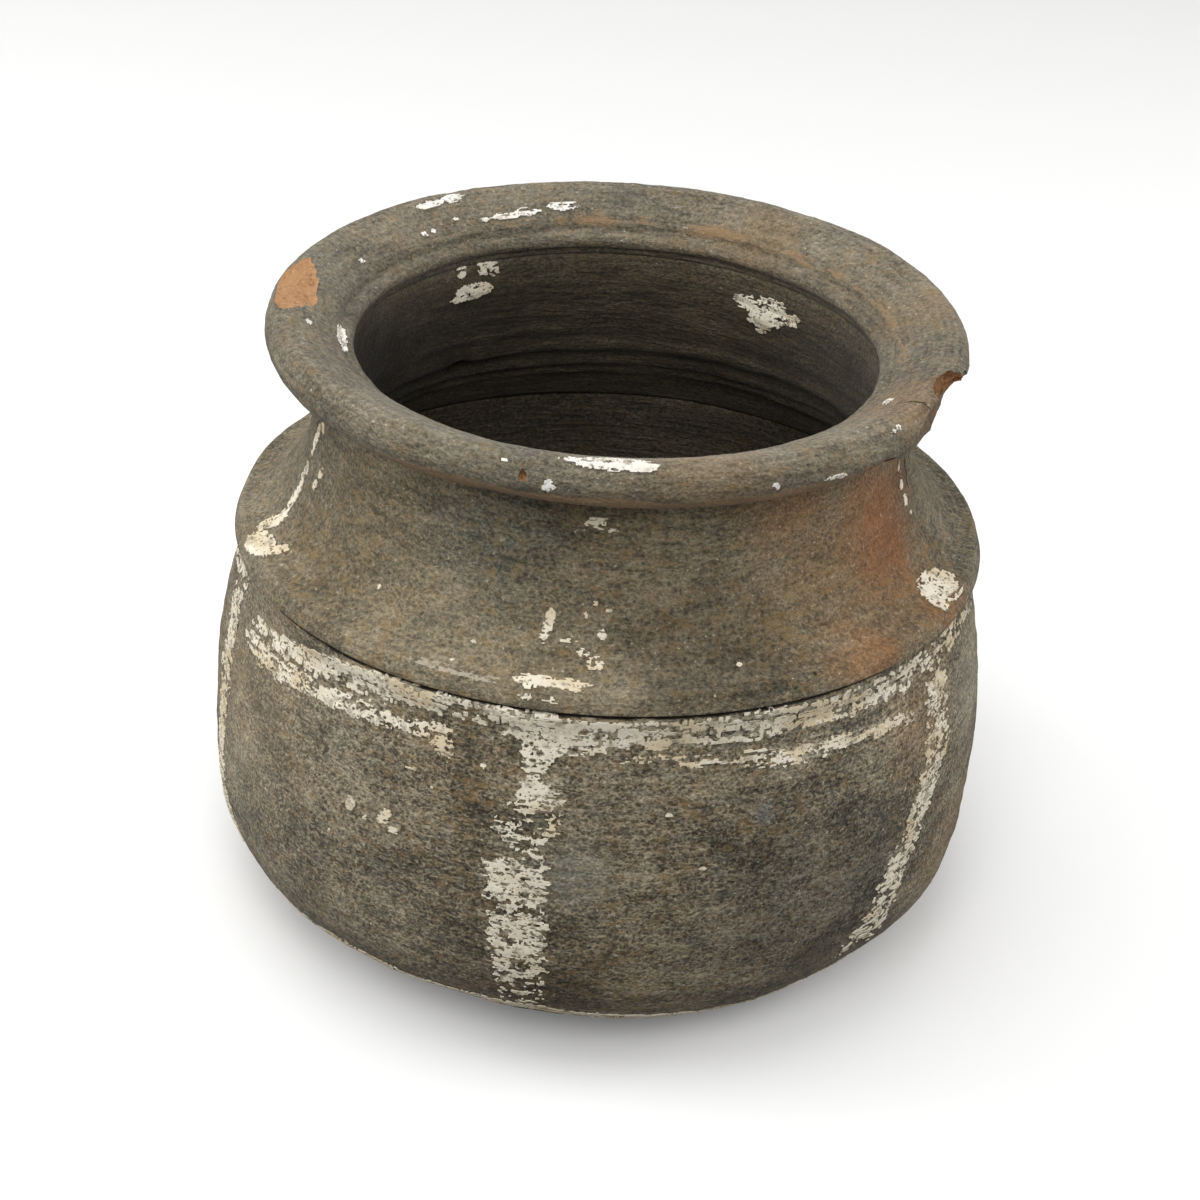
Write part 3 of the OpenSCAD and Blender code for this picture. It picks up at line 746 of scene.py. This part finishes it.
def lime(name, colour, aged=0.65):
    """Chalky limewash: cream, greyer where it is thin and dirty, with a matt grainy face."""
    material = bpy.data.materials.new(name)
    material.use_nodes = True
    start = Wire(material.node_tree)
    where = start.node("ShaderNodeTexCoord", out="Object")
    dirt = where.node("ShaderNodeTexNoise", None, {"Vector": where, "Scale": 240.0, "Detail": 4.0, "Roughness": 0.65})
    age = where.node("ShaderNodeTexNoise", None, {"Vector": where, "Scale": 60.0, "Detail": 3.0})
    grit = where.node("ShaderNodeTexNoise", None, {"Vector": where, "Scale": 850.0, "Detail": 2.0})
    drawn = where.node("ShaderNodeMapping", None, {"Vector": where, "Scale": (150.0, 150.0, 1150.0)})
    drawn = drawn.node("ShaderNodeTexNoise", None, {"Vector": drawn, "Scale": 1.0, "Detail": 3.0, "Roughness": 0.6})
    base = start.node("ShaderNodeRGB")
    base.socket.default_value = paint(*colour)
    skin = base.tint(paint(222, 200, 158), age.ramp(0.46, 0.62) * aged)
    skin = skin.tint(paint(252, 248, 238), dirt.ramp(0.56, 0.70) * 0.8)
    skin = skin.tint(paint(172, 162, 142), dirt.ramp(0.50, 0.32) * 0.85)
    skin = skin.tint(paint(112, 102, 86), (grit * 0.5 + drawn * 0.5).ramp(0.45, 0.40) * 0.85)
    height = grit * 0.6 + dirt
    normal = height.node("ShaderNodeBump", None, {"Strength": 0.7, "Distance": 0.0007, "Height": height})
    shader = material.node_tree.nodes["Principled BSDF"]
    shader.inputs["Roughness"].default_value = 0.95
    shader.inputs["Specular IOR Level"].default_value = 0.15
    material.node_tree.links.new(skin.socket, shader.inputs["Base Color"])
    material.node_tree.links.new(normal.socket, shader.inputs["Normal"])
    return material


lime_cream = lime("lime_cream", (248, 239, 218))


def between(value, low, high, soft):
    return np.clip((value - low) / soft, 0, 1) * np.clip((high - value) / soft, 0, 1)


def girdle_cover(azimuth, run):
    below = -run
    wobble = 0.7 * np.sin(np.radians(azimuth * 7)) + 0.5 * np.sin(np.radians(azimuth * 17 + 40))
    top = np.interp(azimuth, [-156, -151, -139.5, -128.5, -120, -98, -92, -62, -50, -39, -23, 200],
                    [12.5, 11.0, 8.0, 2.8, 0.5, 0.3, 2.0, 2.2, 2.9, 3.1, 3.5, 5.5])
    foot = np.interp(azimuth, [-156, -151, -139, -128, -113, -103, -100, -90, -87, -75, -62, -45, -23, 40, 120, 200],
                     [17, 18.5, 16, 13.0, 11, 10, 12.5, 14.5, 12.6, 12.6, 12, 13, 13, 14, 13, 14])
    left = np.interp(azimuth, [-156, -152, -146, -136, -113, -110, -104, -101, -92, -88, -74, -66, -42, -38, -24, -15, 0, 40, 90, 150, 200],
                     [0, 0.60, 0.82, 0.96, 0.94, 0.80, 0.72, 0.86, 0.92, 0.80, 0.82, 0.90, 0.84, 0.68, 0.6, 0.5, 0.75, 0.85, 0.65, 0.9, 0.6])
    lit = 0.28 * np.exp(-((below - foot + 1.6) / 0.9) ** 2) * (azimuth > -92) * (azimuth < -60)
    upper = 0.2 * np.clip(((top + foot) / 2 - below) / 3.5, -1, 0.6) * (azimuth < -100)
    under_top = np.clip((below - top - 0.3 * wobble) / 1.2, 0, 1)
    return (left + lit + upper) * under_top * np.clip((foot + 1.0 + 0.5 * wobble - below) / 3.0, 0, 1)


girdle = limewash("girdle_stroke", ["girdle_stroke"], bowl, bowl_skin, [(-157, 200, -20, -1.9, girdle_cover)], lime_cream, 14.0, 1.5)


def lower_cover(azimuth, run):
    below = -run
    top = np.interp(azimuth, [-156, -152, -146, -131, -121, -113, -88, -75, -61.5, -49, -37, 8, 34, 66, 88, 138, 160],
                    [16, 17, 17.2, 14.2, 13, 12, 13.8, 13.8, 16.0, 17.2, 20.2, 18, 18, 17, 17, 18, 18])
    foot = np.interp(azimuth, [-156, -152, -146, -131, -121, -115, -111, -88, -75, -61.5, -49, -37, 8, 34, 66, 88, 138, 160],
                     [25.5, 25.8, 25.5, 21.5, 20, 18.5, 22.5, 17.5, 18.5, 22.4, 22.6, 24.6, 22, 22, 22, 22, 22, 22])
    left = np.interp(azimuth, [-156, -152, -140, -113, -111.5, -109.5, -90, -88, -75, -72.5, -71, -66, -62, -50, -41, -38, -37,
                               8, 10, 32, 34, 66, 68, 86, 88, 138, 140, 158, 160],
                     [0, 0.66, 0.80, 0.68, 0.95, 0, 0, 0.56, 0.44, 0.34, 0.50, 0.58, 0.95, 1.08, 0.85, 0.7, 0,
                      0, 0.8, 0.8, 0, 0, 0.7, 0.7, 0, 0, 0.75, 0.75, 0])
    return left * between(below, top - 0.3, foot + 0.5, 2.0)


limewash("lower_stroke", ["lower_stroke"], bowl, bowl_skin,
         [(-156, -108, -26.5, -11, lower_cover), (-91, -35, -26, -12, lower_cover), (7, 35, -24, -16, lower_cover),
          (65, 89, -24, -16, lower_cover), (137, 161, -24, -16, lower_cover)], lime_cream, 9.0, 1.5)


def base_cover(azimuth, run):
    up = np.interp(run, bowl_skin[0], bowl_skin[2])
    low = np.interp(azimuth, [-170, -125, -95, -70, -50, 170], [14, 18.5, 17, 11, 12, 13])
    left = np.interp(azimuth, [-170, -165, -132, -126, -122, -100, -70, -58, -50, -45, -12, -8, 6, 12, 50, 60, 66, 115, 128, 134, 170],
                     [0, 0.6, 0.75, 0.5, 0.8, 0.98, 0.9, 0.6, 0.5, 0.6, 0.6, 0.3, 0.3, 0.7, 0.6, 0.3, 0.7, 0.7, 0.4, 0.7, 0])
    return left * between(up, low, low + 6.5, 1.6)


limewash("base_stroke", ["base_stroke"], bowl, bowl_skin, [(-170, 170, -133, -108, base_cover)], lime_cream, 16.0, 1.5)

# The vertical stripes. The same lime, pulled down the bowl in one stroke each,
# now worn to blocks; the wiping marks of the clay show through them.


def stripe_cover(track, half_wide, left_over):
    """A stripe: its middle's angle, its half width in mm and how much lime is left, each at mm below the crease."""
    def cover(azimuth, run):
        below = -run
        reach = np.interp(run, bowl_skin[0], bowl_skin[1])
        off = np.radians(azimuth - np.interp(below, *track)) * reach
        edge = np.interp(below, *half_wide)
        return np.interp(below, *left_over) * np.clip((edge + 0.8 - np.abs(off)) / 3.4, 0, 1)
    return cover


front = stripe_cover(([5, 12, 22, 26, 31, 40, 53, 70, 88, 100, 118],
                      [-96.2, -96.4, -98.2, -97.2, -96.6, -98.6, -99.2, -98.7, -98.3, -97.8, -97.5]),
                     ([5, 10, 13, 17, 20, 23, 25, 31, 33, 40, 48, 52, 66, 70, 90, 105, 118],
                      [13, 9.5, 8.8, 6.5, 3.8, 3.8, 5.0, 8.4, 8.5, 10.5, 9, 10.3, 10, 9.8, 9.6, 7, 6]),
                     ([3, 5, 13, 16, 20, 22, 25, 30, 33, 44, 48, 50.5, 53, 64, 66.5, 69, 72, 82, 86, 94, 99, 104, 112, 118],
                      [0, 0.72, 0.82, 0.78, 0.90, 0.50, 1.0, 0.96, 0.50, 0.46, 0.20, 0.20, 0.93, 0.88, 0.42, 0.46, 0.90, 0.80, 0.60, 0.58, 0.34, 0.30, 0.38, 0]))
limewash("front_stripe", ["front_stripe"], bowl, bowl_skin, [(-105.5, -88, -118, -3, front)], lime_cream, 7.0, 1.5)
right = stripe_cover(([14, 20, 31, 41, 55, 67, 79, 92, 106], [-30.5, -30.5, -31, -31.2, -35, -37.8, -41, -42.8, -44.8]),
                     ([14, 24, 40, 52, 70, 92, 106], [6.5, 8.5, 8.5, 7.5, 7.0, 8.0, 9.0]),
                     ([14, 17, 24, 28, 34, 38, 44, 60, 66, 72, 78, 100, 107], [0, 0.88, 0.80, 0.42, 0.74, 0.50, 0.74, 0.78, 0.42, 0.80, 0.66, 0.68, 0]))
limewash("right_stripe", ["right_stripe"], bowl, bowl_skin, [(-51, -25, -107, -14, right)], lime_cream, 4.0, 2.4)
left = stripe_cover(([14, 22, 31, 42, 58, 72, 85, 104], [-164, -163.5, -162, -162, -161.5, -161.8, -160.5, -156]),
                    ([14, 26, 104], [6.5, 7, 6]),
                    ([14, 18, 30, 42, 48, 54, 70, 76, 100, 104], [0, 0.7, 0.75, 0.72, 0.4, 0.75, 0.8, 0.6, 0.7, 0]))
limewash("left_stripe", ["left_stripe"], bowl, bowl_skin, [(-169, -150, -104, -14, left)], lime_cream, 4.0, 2.4)
behind = [stripe_cover(([20, 60, 104], track), ([20, 104], [7.5, 9]), ([20, 24, 50, 56, 62, 86, 92, 100, 104], strength))
          for track, strength in (([31, 30, 32], [0, 0.9, 0.8, 0.5, 0.95, 0.9, 0.6, 0.7, 0]),
                                  ([92, 91, 93], [0, 0.8, 0.9, 0.6, 0.8, 0.8, 0.8, 0.6, 0]),
                                  ([151, 152, 150], [0, 0.6, 0.9, 0.9, 0.5, 0.9, 0.8, 0.7, 0]))]
limewash("rear_stripes", ["rear_stripes"], bowl, bowl_skin,
         [(middle - 7, middle + 7, -104, -20, cover) for middle, cover in zip((31, 92, 151), behind)], lime_cream, 5.0, 1.6)


# What the brush and the weather rubbed into the clay beside the strokes, thinner than a film
reach_true = np.hypot(bowl_true[:, 0], bowl_true[:, 1])
outer = bowl_true[:, 2] > 0.5
outer &= np.abs(reach_true - np.interp(bowl_true[:, 2], bowl_skin[2], bowl_skin[1])) < 0.5
turn_true = np.degrees(np.arctan2(bowl_true[:, 1], bowl_true[:, 0]))
run_true = np.interp(bowl_true[:, 2], bowl_skin[2], bowl_skin[0])
rubbed = np.zeros(len(bowl_true))
for cover in (girdle_cover, lower_cover, base_cover, front, right, left, *behind):
    for turned_by, moved in ((0, 0), (1.2, 0), (-1.2, 0), (0, 2.2), (0, -2.2), (2.2, -3), (-2.2, -3)):
        if cover is girdle_cover and moved < 0:
            continue
        around = turn_true + turned_by
        if cover is girdle_cover:
            around = np.where(around < -157, around + 360, around)
        rubbed = np.maximum(rubbed, 0.75 * cover(around, run_true + moved)) if turned_by == moved == 0 else \
            np.maximum(rubbed, 0.5 * cover(around, run_true + moved))
shade(bowl, "haze", np.where(outer, rubbed, 0))

# Daubs and drips. Lime that ran or splashed on the shoulder, the neck, the rim
# and inside the mouth, and specks on the bowl.
def splashes(skin, marks):
    """Patches for separate daubs: middle angle and run, half width and half height in mm, slant, lime left."""
    patches = []
    for middle, level, wide, tall, slant, strength in marks:
        reach = float(np.interp(level, skin[0], skin[1]))

        def cover(azimuth, run, middle=middle, level=level, wide=wide, tall=tall, slant=slant, strength=strength, reach=reach):
            up = run - level
            off = np.radians(azimuth - middle) * reach - slant * up
            return strength * np.clip(1.9 - 1.9 * ((off / wide) ** 2 + (up / tall) ** 2), 0, 1)
        half = math.degrees((wide + abs(slant) * tall) / reach) * 1.1
        patches.append((middle - half, middle + half, max(level - tall * 1.05, skin[0][0]), min(level + tall * 1.05, skin[0][-1]), cover))
    return patches


limewash("bowl_specks", ["bowl_specks"], bowl, bowl_skin,
         splashes(bowl_skin, [(-124.5, -48.5, 2.2, 2.8, 0, 1.1), (-122, -51, 1.2, 1.2, 0, 0.9), (-118.8, -48, 2.4, 3.2, 0.3, 1.1),
                              (-117, -51.5, 2.6, 1.4, 0, 0.8), (-115.5, -29, 2.6, 1.1, 0, 0.9), (-120.5, -89.5, 1.2, 1.4, 0, 1),
                              (-105, -22, 1.4, 1.1, 0, 0.9), (-112, -33, 0.9, 0.8, 0, 0.8), (-79, -33.5, 1.6, 0.8, 0, 0.8),
                              (-100, -46, 1.1, 1, 0, 0.8), (-128, -62, 0.8, 0.9, 0, 0.9), (-74, -52, 1.3, 0.7, 0, 0.8)]),
         lime_cream)

shoulder_skin = skin_line([ridge[-1]] + shoulder_outer)
ridge_skin = skin_line(ridge)
shoulder_skin = tuple(np.concatenate([a, b[1:]]) for a, b in
                      zip((ridge_skin[0] - ridge_skin[0][-1], ridge_skin[1], ridge_skin[2]), shoulder_skin))
limewash("shoulder_daubs", ["shoulder_daubs"], shoulder, shoulder_skin,
         splashes(shoulder_skin, [(-163.8, 20, 2.6, 10, -0.12, 1.15), (-164.5, 29, 3.0, 4.5, 0, 1.0), (-163.4, 9, 3.8, 7.5, 0.35, 1.2),
                                  (-159, 2.5, 9.5, 5.5, 0.2, 1.2), (-155, 6.5, 3.2, 4, 0.5, 0.95),
                                  (-23.4, 5.2, 11.5, 7.4, -0.25, 1.2), (-27.5, 0.5, 3, 3.5, 0, 0.9),
                                  (-96.4, 2.6, 13.5, 3.1, 0, 1.3), (-99.5, 1.8, 5, 2.8, 0, 1.2), (-97.5, -3.4, 7.5, 1.5, 0, 0.72),
                                  (-93, 0.2, 2.2, 0.9, 0, 0.8), (-98.6, 21.5, 2.0, 6.2, 0.15, 1.2), (-90.5, 11.5, 3.2, 3.4, 0, 0.85), (-91, 29.5, 1.2, 1.2, 0, 1.1),
                                  (-88.5, 27.5, 1.2, 1.1, 0, 1.1), (-92.5, 25.5, 1.1, 1.3, 0, 1.0), (-89.5, 20, 1.6, 2, 0, 0.9),
                                  (-95, 17.5, 3.2, 2.2, 0, 0.66), (-92.5, 14, 2.4, 1.6, 0, 0.7), (-110, 12, 1.0, 0.8, 0, 1.0),
                                  (-112, 4.5, 1.2, 0.9, 0, 1), (-68, 9, 0.9, 0.8, 0, 1.1), (-130, 18, 0.8, 0.9, 0, 1.1)]), lime_cream)
limewash("neck_daubs", ["neck_daubs"], shoulder, shoulder_skin,
         splashes(shoulder_skin, [(-91.5, 55, 4.0, 2.6, 0, 1.0), (-88.5, 52.5, 2.0, 1.4, 0, 0.9), (-163.8, 42, 2.6, 8, 0.2, 0.92),
                                  (-157, 33, 2.0, 6, 0.3, 0.9), (-161, 50, 2.0, 5, 0, 0.8), (-19.6, 41, 1.5, 2.6, 0.2, 0.95),
                                  (-18.9, 34.5, 1.8, 2.8, 0, 1.0), (-20.4, 48, 1.1, 2.2, 0, 0.9),
                                  (-17.8, 29.5, 1.0, 1.2, 0, 0.95)]), lime_cream)

rim_skin = skin_line(roll + [land_in] + dish + [seat[-1]] + bead)
roll_end = 20.94
rim_white = lime("lime_bright", (242, 240, 233), 0.2)
limewash("rim_daubs", ["rim_daubs"], rim, rim_skin,
         splashes(rim_skin, [(-90, roll_end + 1.0, 14.5, 3.2, 0, 1.25), (-85, roll_end - 0.4, 6, 2.2, 0, 1.1),
                             (131, roll_end + 5.0, 6, 2.2, 0, 0.92), (125.5, roll_end + 4.6, 6, 2.6, 0, 0.92),
                             (117, roll_end + 16.2, 6, 1.8, 0, 0.85), (111.5, roll_end + 15.4, 7, 2.0, 0, 0.9),
                             (103.5, roll_end + 13.8, 7.5, 2.2, 0, 0.95), (137, roll_end + 16.4, 1.5, 1.1, 0, 1.1),
                             (134.5, roll_end + 16.2, 1.3, 1.0, 0, 1.0), (128, roll_end + 14, 1.6, 1.0, 0, 1.0),
                             (121.5, roll_end + 16.4, 2.0, 1.2, 0, 1.05), (157, roll_end + 15.2, 1.3, 1.3, 0, 1.0),
                             (-170, roll_end + 23, 11.0, 2.8, 0, 1.2), (-168.5, roll_end + 9.8, 2.4, 1.2, 0, 1.2),
                             (-105.5, 18, 1.5, 1.2, 0, 1.2), (-98.5, 13, 2.2, 1.9, 0, 1.0), (-54, 10.5, 5.5, 1.4, 0, 0.85),
                             (-64.5, 12, 1.7, 1.3, 0, 1.05), (-40.5, 18, 4, 1.3, 0, 0.85), (-30.5, roll_end + 12, 3.2, 1.6, 0, 0.85)]),
         rim_white)

throat_skin = skin_line([bead[-1]] + [shoulder_at(t, neck_wall) for t in range(90, 24, -1)])
# The daubs inside the mouth take a brighter copy of the cream lime: painted light in the dark throat
limewash("inside_daubs", ["inside_daubs"], shoulder, throat_skin,
         splashes(throat_skin, [(122.5, 4, 5.2, 4.6, -0.25, 1.15), (129.8, 3, 2.6, 3.6, 0, 1.05), (127, 12.4, 9.5, 3.4, 0.6, 1.15),
                                (54, 14.5, 9.5, 7.5, 0.4, 0.95), (48, 13.5, 5.5, 3, 0, 0.85), (60, 12.5, 5.5, 3.2, 0, 0.85),
                                (56, 19.5, 3, 5, 0, 0.9)]), lime("lime_inside_painted_light", (255, 247, 226)))
